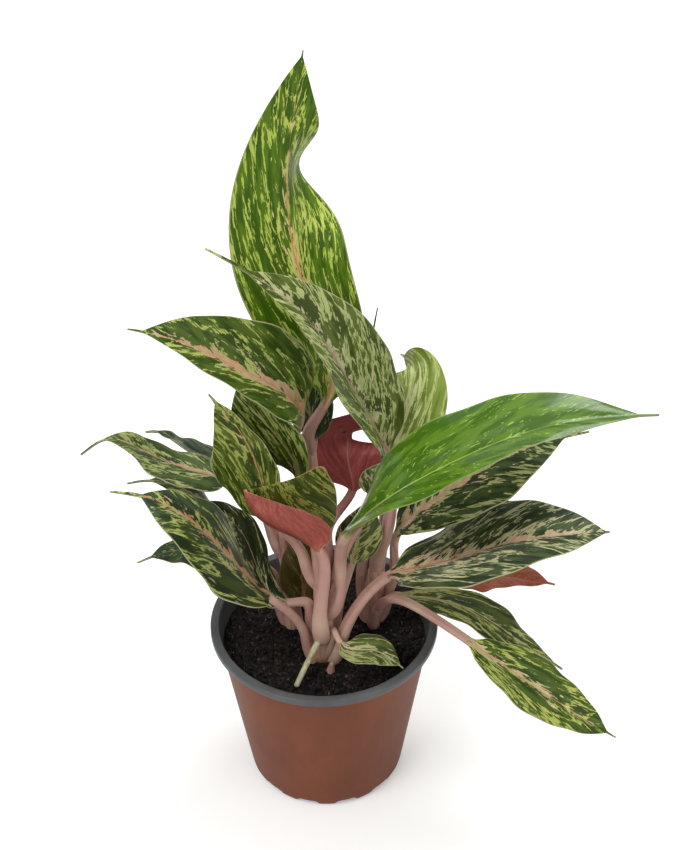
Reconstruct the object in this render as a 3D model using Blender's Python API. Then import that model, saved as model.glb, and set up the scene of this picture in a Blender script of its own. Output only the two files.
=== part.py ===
"""Potted Chinese evergreen: leaves on short canes, potting soil and a plastic nursery pot.

Every part is one closed solid named after the real piece. A leaf is one solid with its stalk, as it
grew. The origin is on the floor under the middle of the pot, the front is -Y, and up is +Z.
"""

from dataclasses import dataclass
from math import cos, pi, radians, sin

import bpy
import numpy as np

MM = 0.001
UP = (0, 0, 1)
GAP = 0.35  # between pieces that touch on the real plant

# Pot, in millimetres
POT_HEIGHT = 116.5
RIM_RADIUS = 70.0
RIM_WIDTH = 5.3
LIP_HEIGHT = 4.6
BODY_TOP_RADIUS = 65.5
BASE_RADIUS = 48.4
WALL = 1.2
FOOT_COUNT = 12
FOOT_NOTCH = 2.2
POT_SEGMENTS = 96
DRAIN_HOLES = 6
DRAIN_HOLE_RADIUS = 4.0
DRAIN_CIRCLE_RADIUS = 26.0

# Soil, in millimetres
SOIL_TOP = 103.6
SOIL_EDGE_DROP = 1.5
SOIL_SEGMENTS = 48

# Plant, in millimetres
CANE_FOOT = SOIL_TOP + GAP
LEAF_ACROSS = np.array([-1.0, -0.5, 0.0, 0.5, 1.0])
BLADE_RINGS = 12
STALK_RINGS = 5
STALK_FLARE = 1.25  # a stalk's foot is this much thicker than its top
BLADE_SKIN = np.array([0.3, 0.45, 0.6, 0.45, 0.3])  # half thickness from margin to margin
TUCK_LENGTH = 0.15


@dataclass(frozen=True)
class Cane:
    """A bare stem: its axis points and its radius at the foot and at the top."""

    points: tuple
    foot_radius: float
    top_radius: float
    material: str = "pink_cane"


@dataclass(frozen=True)
class Leaf:
    """A leaf and its stalk. Angles are in degrees, places and widths in millimetres.

    The stalk leaves its cane at a height and azimuth, or from the cane's top where azimuth is None.
    face is the way the upper side looks, fold lifts both halves about the midrib, and left and right
    scale each half. tuck rolls the right half back at tuck_at along the blade.
    """

    name: str
    cane: str
    height: float
    azimuth: float | None
    base: tuple
    mids: tuple
    tip: tuple
    width: float
    face: tuple = UP
    stalk_bends: tuple = ()
    fold: float = 8
    curl: float = 0.12
    belly: float = 0.85
    drip: float = 0.06
    left: float = 1.0
    right: float = 1.0
    tuck: float = 0
    tuck_at: float = 0.66
    stalk: float = 2.6
    material: str = "green_leaf"


CANES = {
    "tall_cane": Cane(((-1, -22, CANE_FOOT), (0, -17, 150), (-3, -11, 205), (-6, -6, 252)), 6.5, 4.0),
    "right_cane": Cane(((29, 14, CANE_FOOT), (31, 14, 125), (33, 14, 146)), 7.5, 5.0),
    "left_cane": Cane(((-19, 8, CANE_FOOT), (-21, 10, 140), (-23, 12, 178)), 6.0, 3.5),
}

STUBS = {
    "cut_leaf_stalk": Cane(((-2, -26.8, 127), (-9, -38.5, 120), (-17, -47, 106)), 1.9, 1.6, "cut_stalk"),
    "pink_sprout": Cane(((3.4, -33.6, CANE_FOOT), (4.2, -34.4, 109), (4.6, -35.6, 114)), 3.0, 1.2),
}

LEAVES = (
    Leaf("crown_leaf", "tall_cane", 252, None, (2, 0, 278), ((-9, 10, 361), (-13, 17, 425)),
         (-4, 22, 484), 68, (0, -1, 0.3), fold=12, curl=0, drip=0.02, right=0.82, tuck=88),
    Leaf("arching_leaf", "right_cane", 146, None, (38, 4, 238),
         ((29, -10, 278), (15, -24, 317), (-9, -36, 368)), (-55, -38, 406), 58, (0.8, -0.6, 0.3),
         ((36, 9, 168), (41, 5, 207)), fold=34, drip=0.12, left=0.75, stalk=3.4),
    Leaf("upper_left_leaf", "tall_cane", 244, 200, (-10, -20, 288),
         ((-49, -42, 341), (-74, -50, 360)), (-95, -54, 369), 60, (0.2, -0.5, 0.85), fold=26,
         belly=0.66, drip=0.06, left=0.7),
    Leaf("left_leaf", "left_cane", 170, 170, (-52, 6, 221), ((-93, 8, 238), (-123, 4, 255)),
         (-137, 0, 247), 44, (0, 0, 1), fold=12, drip=0.16, right=0.6),
    Leaf("left_back_leaf", "left_cane", 160, 110, (-48, 30, 210), ((-78, 38, 221), (-95, 42, 231)),
         (-105, 44, 230), 34, (0, 0.4, 1), fold=10, drip=0.12),
    Leaf("left_upright_leaf", "tall_cane", 170, 185, (-25, -20, 211), ((-41, -24, 275),),
         (-60, -18, 302), 56, (-0.5, -0.8, 0.3), fold=18, right=0.6),
    Leaf("middle_streaked_leaf", "tall_cane", 205, 190, (-12, -15, 240), ((-29, -18, 281),),
         (-45, -19, 313), 44, (-0.4, -0.7, 0.5), right=0.6),
    Leaf("lower_left_leaf", "tall_cane", 112, 192, (-31, -34, 167),
         ((-65, -38, 221), (-94, -36, 244)), (-117, -34, 248), 62, UP, fold=5, drip=0.14, belly=0.95,
         left=1.15, right=0.9),
    Leaf("lower_left_back_leaf", "left_cane", 135, 190, (-38, 16, 147),
         ((-72, 16, 201), (-104, 16, 215)), (-115, 16, 213), 46, UP, drip=0.12, left=0.7),
    Leaf("dark_left_leaf", "tall_cane", 130, 150, (-20, -9, 139), ((-45, 1, 181),), (-72, -3, 217),
         46, (0.5, -0.4, 0.8), belly=1.0, left=0.75, right=0.55),
    Leaf("low_left_leaf", "left_cane", 112, 150, (-46, 20, 133), ((-82, 26, 152),), (-116, 28, 140),
         34, UP, drip=0.12),
    Leaf("unfurling_leaf", "tall_cane", 134, 262, (-1, -31, 201), ((-21, -42, 226), (-35, -50, 246)),
         (-40, -55, 265), 64, (0.8, 0, 0.6), fold=72, belly=1.05, drip=0.02, right=1.5, stalk=3.8),
    Leaf("red_backed_rear_leaf", "tall_cane", 180, 60, (18, 14, 206), ((16, 16, 231), (16, 28, 239)),
         (14, 56, 213), 46, (0, 1, 0.3)),
    Leaf("pale_striped_leaf", "right_cane", 130, 80, (44, 16, 239), ((51, 16, 269), (54, 26, 285)),
         (47, 46, 282), 44, (-0.1, -1, 0.3)),
    Leaf("glossy_right_leaf", "tall_cane", 150, 326, (14, -43, 221),
         ((37, -56, 259), (69, -60, 285), (120, -60, 309)), (178, -60, 315), 62, (0, -0.15, 1),
         fold=17, belly=0.86, drip=0.05, right=0.6, stalk=3.4),
    Leaf("right_back_leaf", "right_cane", 124, 12, (44, 12, 171), ((78, 8, 214), (120, 4, 246)),
         (154, 4, 256), 60, (0, -0.3, 1), fold=10, belly=1.3, drip=0.1),
    Leaf("front_right_leaf", "tall_cane", 112, 338, (38, -12, 161), ((69, -18, 178), (109, -26, 200)),
         (165, -30, 210), 70, UP, fold=18, belly=0.95, drip=0.02, right=1.15, stalk=3.2),
    Leaf("red_backed_side_leaf", "right_cane", 111, 62, (66, 24, 130), ((104, 28, 128),),
         (146, 30, 115), 40, (0, 1, 0.25), fold=6),
    Leaf("low_right_leaf", "right_cane", 116, 322, (46, 2, 133), ((77, -8, 137), (112, -22, 124)),
         (145, -30, 100), 30, UP),
    Leaf("lowest_right_leaf", "right_cane", 110, 282, (84, -46, 142),
         ((115, -60, 125), (145, -68, 105)), (173, -72, 85), 48, (0.2, -0.3, 0.9),
         ((47, -16, 146), (66, -33, 147)), fold=12, belly=0.95, left=0.8, right=0.8),
    Leaf("small_front_leaf", "tall_cane", 120, 306, (10, -36, 131), ((29, -42, 131),), (47, -48, 121),
         26, UP, stalk=1.6),
    Leaf("olive_shaded_leaf", "tall_cane", 112, 118, (-10, 2, 126), ((-13, 4, 154),), (-14, 4, 189),
         28, (0.2, -0.9, 0.4)),
    Leaf("shaded_middle_leaf", "tall_cane", 124, 40, (17, -4, 165), ((22, -2, 186),), (27, 0, 212),
         28, (0.1, -0.8, 0.5)),
    Leaf("hidden_back_leaf", "right_cane", 118, 135, (36, 48, 216), ((30, 56, 262),), (34, 54, 309),
         24, (0, -1, 0.4), ((31, 38, 165),), drip=0.35),
    Leaf("small_spotted_leaf", "tall_cane", 160, 5, (30, -4, 217), ((32, -8, 234),), (35, -13, 250),
         20, (0.1, -0.8, 0.5), fold=6),
    Leaf("dark_back_leaf", "tall_cane", 215, 110, (-4, 12, 246), ((-8, 18, 276),), (-9, 20, 307), 30,
         (-0.2, -0.8, 0.5)),
)

# name: (colour, roughness)
MATERIALS = {
    "pot_plastic": ((0.17, 0.055, 0.034), 0.55),
    "potting_soil": ((0.012, 0.009, 0.008), 0.95),
    "pink_cane": ((0.55, 0.30, 0.27), 0.5),
    "cut_stalk": ((0.45, 0.42, 0.22), 0.6),
    "green_leaf": ((0.07, 0.16, 0.035), 0.4),
}


def unit(vectors):
    """Scale one vector, or each row of vectors, to length one."""
    vectors = np.asarray(vectors, float)
    return vectors / np.linalg.norm(vectors, axis=-1, keepdims=True)


def smooth_step(value):
    value = np.clip(value, 0, 1)
    return value * value * (3 - 2 * value)


class SmoothPath:
    """A natural cubic spline through points, measured along the chords between them."""

    def __init__(self, points):
        self.points = np.asarray(points, float)
        self.steps = np.linalg.norm(np.diff(self.points, axis=0), axis=1)
        self.marks = np.concatenate([[0], np.cumsum(self.steps)])
        count = len(self.points)
        system = np.eye(count)
        bends = np.zeros((count, 3))
        for i in range(1, count - 1):
            before, after = self.steps[i - 1], self.steps[i]
            system[i, i - 1 : i + 2] = before, 2 * (before + after), after
            slope_after = (self.points[i + 1] - self.points[i]) / after
            slope_before = (self.points[i] - self.points[i - 1]) / before
            bends[i] = 6 * (slope_after - slope_before)
        self.bends = np.linalg.solve(system, bends)

    @property
    def length(self):
        return self.marks[-1]

    def at(self, distances):
        """Return the points at these distances along the path."""
        distances = np.atleast_1d(np.asarray(distances, float))
        i = np.clip(np.searchsorted(self.marks, distances) - 1, 0, len(self.points) - 2)
        to_end = (self.marks[i + 1] - distances)[:, None]
        from_start = (distances - self.marks[i])[:, None]
        step = self.steps[i][:, None]
        cubic = (self.bends[i] * to_end**3 + self.bends[i + 1] * from_start**3) / (6 * step)
        start = (self.points[i] / step - self.bends[i] * step / 6) * to_end
        end = (self.points[i + 1] / step - self.bends[i + 1] * step / 6) * from_start
        return cubic + start + end

    def tangents(self, distances):
        distances = np.atleast_1d(np.asarray(distances, float))
        ahead = np.minimum(distances + 0.5, self.length)
        behind = np.maximum(distances - 0.5, 0)
        return unit(self.at(ahead) - self.at(behind))


def loft(rings):
    """Return vertices and faces of a closed skin over rings of points, capped at both ends."""
    count, around, _ = rings.shape
    vertices = np.concatenate([rings.reshape(-1, 3), [rings[0].mean(axis=0), rings[-1].mean(axis=0)]])
    first_cap = count * around
    last = (count - 1) * around
    faces = []
    for ring in range(count - 1):
        for j in range(around):
            a = ring * around + j
            b = ring * around + (j + 1) % around
            faces.append((a, b, b + around, a + around))
    for j in range(around):
        k = (j + 1) % around
        faces.append((first_cap, k, j))
        faces.append((first_cap + 1, last + j, last + k))
    return vertices, faces


def enclosed_volume(vertices, faces):
    total = 0.0
    for face in faces:
        for second, third in zip(face[1:], face[2:]):
            total += np.dot(vertices[face[0]], np.cross(vertices[second], vertices[third]))
    return total / 6


def make_material(name):
    colour, roughness = MATERIALS[name]
    material = bpy.data.materials.new(name)
    material.diffuse_color = (*colour, 1)
    material.use_nodes = True
    shader = material.node_tree.nodes["Principled BSDF"]
    shader.inputs["Base Color"].default_value = (*colour, 1)
    shader.inputs["Roughness"].default_value = roughness
    return material


def add_part(name, vertices, faces, material, smooth=True):
    """Add one closed solid, given in millimetres, with its faces turned outwards."""
    if enclosed_volume(vertices, faces) < 0:
        faces = [tuple(reversed(face)) for face in faces]
    mesh = bpy.data.meshes.new(name)
    mesh.from_pydata((vertices * MM).tolist(), [], [tuple(int(i) for i in face) for face in faces])
    mesh.polygons.foreach_set("use_smooth", [smooth] * len(mesh.polygons))
    mesh.materials.append(bpy.data.materials.get(material) or make_material(material))
    part = bpy.data.objects.new(name, mesh)
    bpy.context.scene.collection.objects.link(part)
    return part


def turned_rings(profile, segments, lift=None):
    """Return one ring of points for each (radius, height), raised by lift(ring, angle) if given."""
    rings = []
    for index, (radius, height) in enumerate(profile):
        ring = []
        for step in range(segments):
            angle = 2 * pi * step / segments
            rise = lift(index, angle) if lift else 0
            ring.append((radius * cos(angle), radius * sin(angle), height + rise))
        rings.append(ring)
    return np.array(rings)


def body_radius(height):
    """Outer radius of the tapered pot wall at this height."""
    return BASE_RADIUS + (BODY_TOP_RADIUS - BASE_RADIUS) * height / (POT_HEIGHT - LIP_HEIGHT)


def drain_cutters():
    """Make the hidden cylinders that cut the drain holes."""
    collection = bpy.data.collections.new("drain_cutters")
    bpy.context.scene.collection.children.link(collection)
    for step in range(DRAIN_HOLES):
        angle = 2 * pi * (step + 0.5) / DRAIN_HOLES
        place = (DRAIN_CIRCLE_RADIUS * MM * cos(angle), DRAIN_CIRCLE_RADIUS * MM * sin(angle), 0)
        bpy.ops.mesh.primitive_cylinder_add(
            vertices=16, radius=DRAIN_HOLE_RADIUS * MM, depth=6 * WALL * MM, location=place
        )
        cutter = bpy.context.active_object
        cutter.name = f"drain_cutter_{step}"
        cutter.hide_render = True
        cutter.display_type = "WIRE"
        for holder in list(cutter.users_collection):
            holder.objects.unlink(cutter)
        collection.objects.link(cutter)
    return collection


def build_pot():
    """Turn the pot with its flat rim and notched foot, then cut the drain holes."""
    lip_bottom = POT_HEIGHT - LIP_HEIGHT
    rim_inner = RIM_RADIUS - RIM_WIDTH
    foot_edge = BASE_RADIUS - 2.4
    profile = [
        (12.0, 0),
        (foot_edge - 6, 0),
        (foot_edge - 3, 0),
        (foot_edge, 0),
        (BASE_RADIUS - 0.5, 1.4),
        (body_radius(4), 4),
        (body_radius(lip_bottom) - 0.1, lip_bottom - 0.8),
        (RIM_RADIUS - 0.4, lip_bottom),
        (RIM_RADIUS, lip_bottom + 0.7),
        (RIM_RADIUS, POT_HEIGHT - 0.7),
        (RIM_RADIUS - 0.6, POT_HEIGHT),
        (rim_inner + 0.5, POT_HEIGHT),
        (rim_inner, POT_HEIGHT - 0.6),
        (body_radius(lip_bottom) - WALL - 0.1, lip_bottom - 0.8),
        (body_radius(4) - WALL, 4.4),
        (foot_edge - 1, WALL + FOOT_NOTCH),
        (12.0, WALL + FOOT_NOTCH),
    ]

    def foot_notch(index, angle):
        """Lift the foot's edge between the feet."""
        share = {2: 0.35, 3: 1.0, 4: 0.45}.get(index, 0)
        return share * FOOT_NOTCH * (0.5 - 0.5 * cos(FOOT_COUNT * angle)) ** 2

    vertices, faces = loft(turned_rings(profile, POT_SEGMENTS, foot_notch))
    pot = add_part("nursery_pot", vertices, faces, "pot_plastic")
    cut = pot.modifiers.new("drain_holes", "BOOLEAN")
    cut.operation = "DIFFERENCE"
    cut.operand_type = "COLLECTION"
    cut.collection = drain_cutters()
    cut.solver = "EXACT"


def build_soil():
    """Turn the block of soil that fills the pot, its top falling a little towards the wall."""
    floor = WALL + FOOT_NOTCH + GAP
    edge = SOIL_TOP - SOIL_EDGE_DROP
    clear = WALL + GAP + 0.1
    profile = [
        (10, floor),
        (BASE_RADIUS - 5, floor),
        (body_radius(8) - clear, 8),
        (body_radius(edge) - clear, edge),
        (48, SOIL_TOP),
        (10, SOIL_TOP),
    ]
    vertices, faces = loft(turned_rings(profile, SOIL_SEGMENTS))
    add_part("potting_soil", vertices, faces, "potting_soil")


def build_cane(name, cane):
    """Loft a round stem along its axis."""
    path = SmoothPath(cane.points)
    distances = np.linspace(0, path.length, 10)
    centres, tangents = path.at(distances), path.tangents(distances)
    side = unit(np.cross(tangents, (0, 1, 0)))
    depth = np.cross(tangents, side)
    angles = np.arange(12) * 2 * pi / 12
    radii = np.linspace(cane.foot_radius, cane.top_radius, len(distances))[:, None, None]
    circle = side[:, None] * np.cos(angles)[None, :, None] + depth[:, None] * np.sin(angles)[None, :, None]
    vertices, faces = loft(centres[:, None] + radii * circle)
    vertices[:, 2] = np.maximum(vertices[:, 2], CANE_FOOT)
    add_part(name, vertices, faces, cane.material)


def stalk_start(leaf):
    """Return the first two points of the stalk, beside its cane or above the cane's top."""
    cane = CANES[leaf.cane]
    path = SmoothPath(cane.points)
    distances = np.linspace(0, path.length, 200)
    points = path.at(distances)
    nearest = int(np.argmin(abs(points[:, 2] - leaf.height)))
    centre = points[nearest]
    tangent = path.tangents(distances[nearest])[0]
    if leaf.azimuth is None:
        return [centre + tangent * 2 * GAP, centre + tangent * 10]
    share = distances[nearest] / path.length
    radius = cane.foot_radius + (cane.top_radius - cane.foot_radius) * share
    outward = np.array([cos(radians(leaf.azimuth)), sin(radians(leaf.azimuth)), 0])
    outward = unit(outward - (outward @ tangent) * tangent)
    clear = radius + leaf.stalk * STALK_FLARE + GAP
    return [centre + outward * clear, centre + tangent * 12 + outward * (clear + 1.2)]


def half_width(leaf, along):
    """Share of the full half width at this share of the blade's length, with a narrow drip tip."""
    body = np.clip(along / (1 - leaf.drip), 0, 1)
    bow = np.maximum(np.sin(pi * body**leaf.belly), 0) ** (0.72 + 0.15 * body**2)
    tail = 0.04 * np.sqrt(np.clip((1 - along) / 0.1, 0, 1)) * (along > 0.4)
    return np.maximum(bow, tail)


def blade_section(leaf, along, across):
    """Return how far sideways and how far above the midrib the blade lies, in millimetres."""
    side = np.where(across < 0, leaf.left, leaf.right)
    width = leaf.width / 2 * half_width(leaf, along) * side
    tuck = leaf.tuck * np.exp(-(((along - leaf.tuck_at) / TUCK_LENGTH) ** 2)) * (across > 0)
    slope = np.radians(leaf.fold - tuck)
    reach = np.abs(across)
    sideways = across * width * np.cos(slope)
    height = (reach * np.sin(slope) - leaf.curl * reach**2) * width
    return sideways, height


def leaf_rings(leaf):
    """Return the rings of ten points that run from the round stalk to the thin tip of the blade."""
    points = [*stalk_start(leaf), *leaf.stalk_bends, leaf.base, *leaf.mids, leaf.tip]
    path = SmoothPath(points)
    blade_start = path.marks[2 + len(leaf.stalk_bends)]
    along_blade = np.concatenate([[0.03], (np.arange(1, BLADE_RINGS + 1) / BLADE_RINGS) ** 0.9])
    along_blade[-1] = 0.985
    stalk_marks = np.linspace(0, blade_start, STALK_RINGS)
    blade_marks = blade_start + (path.length - blade_start) * along_blade
    distances = np.concatenate([stalk_marks, blade_marks])
    along = np.concatenate([np.zeros(STALK_RINGS), along_blade])
    centres, tangents = path.at(distances), path.tangents(distances)
    face = unit(leaf.face)
    normals = unit(face - (tangents @ face)[:, None] * tangents)
    sideways = np.cross(tangents, normals)
    angles = pi * (1 - (LEAF_ACROSS + 1) / 2 * 0.9 - 0.05)
    rings = []
    for i, share in enumerate(along):
        flare = STALK_FLARE - (STALK_FLARE - 1) * min(1, distances[i] / blade_start)
        radius = leaf.stalk * flare * (1 - 0.75 * share)
        round_top = np.stack([np.cos(angles) * radius, np.sin(angles) * radius], axis=-1)
        round_under = round_top[::-1] * [1, -1]
        x, z = blade_section(leaf, np.full(len(LEAF_ACROSS), share), LEAF_ACROSS)
        narrowest = max(0.9, radius / 2)
        if np.abs(x).max() < narrowest:
            x = LEAF_ACROSS * narrowest
        rib = np.array([0, 0, 0.8 * radius, 0, 0])
        thin_top = np.stack([x, z + BLADE_SKIN], axis=-1)
        thin_under = np.stack([x, z - BLADE_SKIN - rib], axis=-1)[::-1]
        blend = smooth_step(share / 0.1)
        top = round_top * (1 - blend) + thin_top * blend
        under = round_under * (1 - blend) + thin_under * blend
        ring = np.concatenate([top, under])
        rings.append(centres[i] + sideways[i] * ring[:, :1] + normals[i] * ring[:, 1:])
    return np.array(rings)


def build_leaf(leaf):
    vertices, faces = loft(leaf_rings(leaf))
    add_part(leaf.name, vertices, faces, leaf.material)


def main():
    for item in list(bpy.data.objects):
        bpy.data.objects.remove(item, do_unlink=True)
    build_pot()
    build_soil()
    for name, cane in {**CANES, **STUBS}.items():
        build_cane(name, cane)
    for leaf in LEAVES:
        build_leaf(leaf)


main()
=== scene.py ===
"""Looks of a potted Chinese evergreen: splashed leaves on pink stalks, peat soil and a plastic pot.

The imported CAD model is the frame. Each visible piece is rebuilt here as a finer mesh of the same
shape and place, dressed with procedural finishes, and rides on the one body of the frame.
"""

import logging
import random
from dataclasses import dataclass, field
from enum import Enum
from math import cos, exp, hypot, pi, radians, sin, tau

import bpy
import numpy as np
from mathutils import Matrix, Vector, noise

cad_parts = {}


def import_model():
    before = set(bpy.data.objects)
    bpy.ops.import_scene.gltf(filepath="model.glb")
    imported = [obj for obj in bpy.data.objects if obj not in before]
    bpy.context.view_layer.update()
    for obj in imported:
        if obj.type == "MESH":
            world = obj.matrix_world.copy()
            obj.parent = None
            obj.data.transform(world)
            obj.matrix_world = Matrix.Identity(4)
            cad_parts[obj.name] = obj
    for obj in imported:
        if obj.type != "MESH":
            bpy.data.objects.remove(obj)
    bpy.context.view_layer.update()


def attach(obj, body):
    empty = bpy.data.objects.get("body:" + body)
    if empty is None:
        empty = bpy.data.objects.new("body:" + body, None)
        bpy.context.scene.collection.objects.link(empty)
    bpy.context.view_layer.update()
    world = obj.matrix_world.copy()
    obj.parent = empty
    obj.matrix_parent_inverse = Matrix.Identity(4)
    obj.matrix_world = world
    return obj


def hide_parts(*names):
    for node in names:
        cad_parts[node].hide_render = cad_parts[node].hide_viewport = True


MM = 0.001
UP = (0.0, 0.0, 1.0)
ROOT = "root"
Point = tuple[float, float, float]
Socket = bpy.types.NodeSocket

log = logging.getLogger("chinese_evergreen")


# ---------------------------------------------------------------- helpers


def to_linear(hex_colour: str) -> tuple[float, float, float, float]:
    """Turn an sRGB hex colour into linear RGBA.

    Args:
        hex_colour: six hex digits after a hash.

    Returns:
        Red, green, blue and alpha, from 0 to 1.
    """
    parts = [int(hex_colour[i : i + 2], 16) / 255 for i in (1, 3, 5)]
    linear = [c / 12.92 if c <= 0.04045 else ((c + 0.055) / 1.055) ** 2.4 for c in parts]
    return (linear[0], linear[1], linear[2], 1.0)


def unit(vectors: np.ndarray) -> np.ndarray:
    """Scale one vector, or each row of vectors, to length one."""
    vectors = np.asarray(vectors, float)
    return vectors / np.linalg.norm(vectors, axis=-1, keepdims=True)


def smooth_step(value: np.ndarray) -> np.ndarray:
    """Ease from 0 to 1 as value goes from 0 to 1."""
    value = np.clip(value, 0, 1)
    return value * value * (3 - 2 * value)


class SmoothPath:
    """A natural cubic spline through points, measured along the chords between them."""

    def __init__(self, points: list[Point]) -> None:
        """Solve the spline's second derivatives.

        Args:
            points: the points it passes through, in millimetres.
        """
        self.points = np.asarray(points, float)
        self.steps = np.linalg.norm(np.diff(self.points, axis=0), axis=1)
        self.marks = np.concatenate([[0], np.cumsum(self.steps)])
        count = len(self.points)
        system = np.eye(count)
        bends = np.zeros((count, 3))
        for i in range(1, count - 1):
            before, after = self.steps[i - 1], self.steps[i]
            system[i, i - 1 : i + 2] = before, 2 * (before + after), after
            slope_after = (self.points[i + 1] - self.points[i]) / after
            slope_before = (self.points[i] - self.points[i - 1]) / before
            bends[i] = 6 * (slope_after - slope_before)
        self.bends = np.linalg.solve(system, bends)

    @property
    def length(self) -> float:
        """The last mark, in millimetres."""
        return float(self.marks[-1])

    def at(self, distances: np.ndarray) -> np.ndarray:
        """Return the points at these distances along the path."""
        distances = np.atleast_1d(np.asarray(distances, float))
        i = np.clip(np.searchsorted(self.marks, distances) - 1, 0, len(self.points) - 2)
        to_end = (self.marks[i + 1] - distances)[:, None]
        from_start = (distances - self.marks[i])[:, None]
        step = self.steps[i][:, None]
        cubic = (self.bends[i] * to_end**3 + self.bends[i + 1] * from_start**3) / (6 * step)
        start = (self.points[i] / step - self.bends[i] * step / 6) * to_end
        end = (self.points[i + 1] / step - self.bends[i + 1] * step / 6) * from_start
        return cubic + start + end

    def tangents(self, distances: np.ndarray) -> np.ndarray:
        """Return the unit directions at these distances along the path."""
        distances = np.atleast_1d(np.asarray(distances, float))
        ahead = np.minimum(distances + 0.5, self.length)
        behind = np.maximum(distances - 0.5, 0)
        return unit(self.at(ahead) - self.at(behind))


def roll_grid(name: str, rings: np.ndarray, attributes: dict[str, np.ndarray]) -> bpy.types.Object:
    """Model a closed piece from a flat grid that is rolled up, ring by ring, and capped.

    Args:
        name: the piece's name.
        rings: points in millimetres, indexed by ring, place round the ring and axis.
        attributes: vectors of three numbers for each point, indexed like rings.

    Returns:
        The new object, at the origin, with its place in its mesh.
    """
    ring_count, around, _ = rings.shape
    bpy.ops.object.select_all(action="DESELECT")
    bpy.ops.mesh.primitive_grid_add(x_subdivisions=around, y_subdivisions=ring_count - 1, size=1)
    piece = bpy.context.active_object
    piece.name = name
    piece.data.name = name
    closed = np.concatenate([rings, rings[:, :1]], axis=1) * MM
    piece.data.vertices.foreach_set("co", closed.reshape(-1))
    for key, values in attributes.items():
        layer = piece.data.attributes.new(key, "FLOAT_VECTOR", "POINT")
        joined = np.concatenate([values, values[:, :1]], axis=1)
        layer.data.foreach_set("vector", joined.reshape(-1))
    bpy.ops.object.mode_set(mode="EDIT")
    bpy.ops.mesh.select_all(action="SELECT")
    bpy.ops.mesh.remove_doubles(threshold=1e-6)
    bpy.ops.mesh.fill_holes(sides=0)
    bpy.ops.mesh.select_all(action="SELECT")
    bpy.ops.mesh.normals_make_consistent(inside=False)
    bpy.ops.object.mode_set(mode="OBJECT")
    bpy.ops.object.shade_smooth()
    return piece


def finish_piece(piece: bpy.types.Object, nodes: tuple[str, ...] = ()) -> None:
    """Tie a piece to the frame.

    Args:
        piece: the finished piece.
        nodes: the CAD nodes that it stands for.
    """
    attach(piece, ROOT)
    if nodes:
        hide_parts(*nodes)
    log.info("%s: %d faces", piece.name, len(piece.data.polygons))


# ---------------------------------------------------------------- finishes


class Graph:
    """The nodes of one material, ending in a Principled shader."""

    def __init__(self, name: str) -> None:
        """Start a material with its Principled shader.

        Args:
            name: the material's name.
        """
        self.material = bpy.data.materials.new(name)
        self.material.use_nodes = True
        self.tree = self.material.node_tree
        self.shader = self.tree.nodes["Principled BSDF"]

    def add(self, kind: str, inputs: tuple | dict, out: int | str = 0, **settings) -> Socket:
        """Add a node with its settings and links.

        Args:
            kind: the node's type name, without its ShaderNode prefix.
            inputs: a value or a socket for each input, in order or by index.
            out: the output to return.
            settings: the node's own properties.

        Returns:
            The chosen output socket.
        """
        node = self.tree.nodes.new("ShaderNode" + kind)
        for key, value in settings.items():
            setattr(node, key, value)
        for key, value in (enumerate(inputs) if isinstance(inputs, tuple) else inputs.items()):
            if isinstance(value, Socket):
                self.tree.links.new(value, node.inputs[key])
            else:
                node.inputs[key].default_value = value
        return node.outputs[out]

    def pattern(self, where: Socket, stretch: Point, detail: float = 3.0, twist: float = 0.0) -> Socket:
        """Read a fractal pattern, with 0.5 as its middle.

        Args:
            where: the place that it is read at.
            stretch: features per unit of length along each axis.
            detail: octaves.
            twist: how far it is distorted.

        Returns:
            The pattern's value.
        """
        place = self.add("VectorMath", (where, stretch), operation="MULTIPLY")
        inputs = {"Vector": place, "Scale": 1.0, "Detail": detail, "Roughness": 0.6, "Distortion": twist}
        return self.add("TexNoise", inputs)

    def paint(self, ground, share: Socket, low: float, high: float, colour) -> Socket:
        """Lay a colour over a ground where a share rises from low to high.

        Args:
            ground: the colour beneath, as a hex string or a socket.
            share: what decides where the colour lies.
            low: the share at which it starts.
            high: the share at which it covers.
            colour: the colour on top, as a hex string or a socket.

        Returns:
            The painted colour.
        """
        limits = {0: share, 1: low, 2: high, 3: 0.0, 4: 1.0}
        cover = self.add("MapRange", limits, interpolation_type="SMOOTHSTEP")
        ground, colour = (to_linear(c) if isinstance(c, str) else c for c in (ground, colour))
        return self.add("Mix", {0: cover, 6: ground, 7: colour}, out=2, data_type="RGBA")

    def finish(self, colour, relief: Socket | None, depth: float, **constants: float) -> bpy.types.Material:
        """Set the shader's colour, bump and constant sockets.

        Args:
            colour: the base colour, as a socket or linear RGBA.
            relief: the height that its bump follows, from 0 to 1.
            depth: how deep the bump is, in metres.
            constants: values of the shader's own sockets, with _ for a space.

        Returns:
            The finished material.
        """
        if isinstance(colour, Socket):
            self.tree.links.new(colour, self.shader.inputs["Base Color"])
        else:
            self.shader.inputs["Base Color"].default_value = colour
        if relief is not None:
            bump = self.add("Bump", {"Strength": 0.4, "Distance": depth, "Height": relief})
            self.tree.links.new(bump, self.shader.inputs["Normal"])
        for key, value in constants.items():
            self.shader.inputs[key.replace("_", " ")].default_value = value
        return self.material


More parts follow.
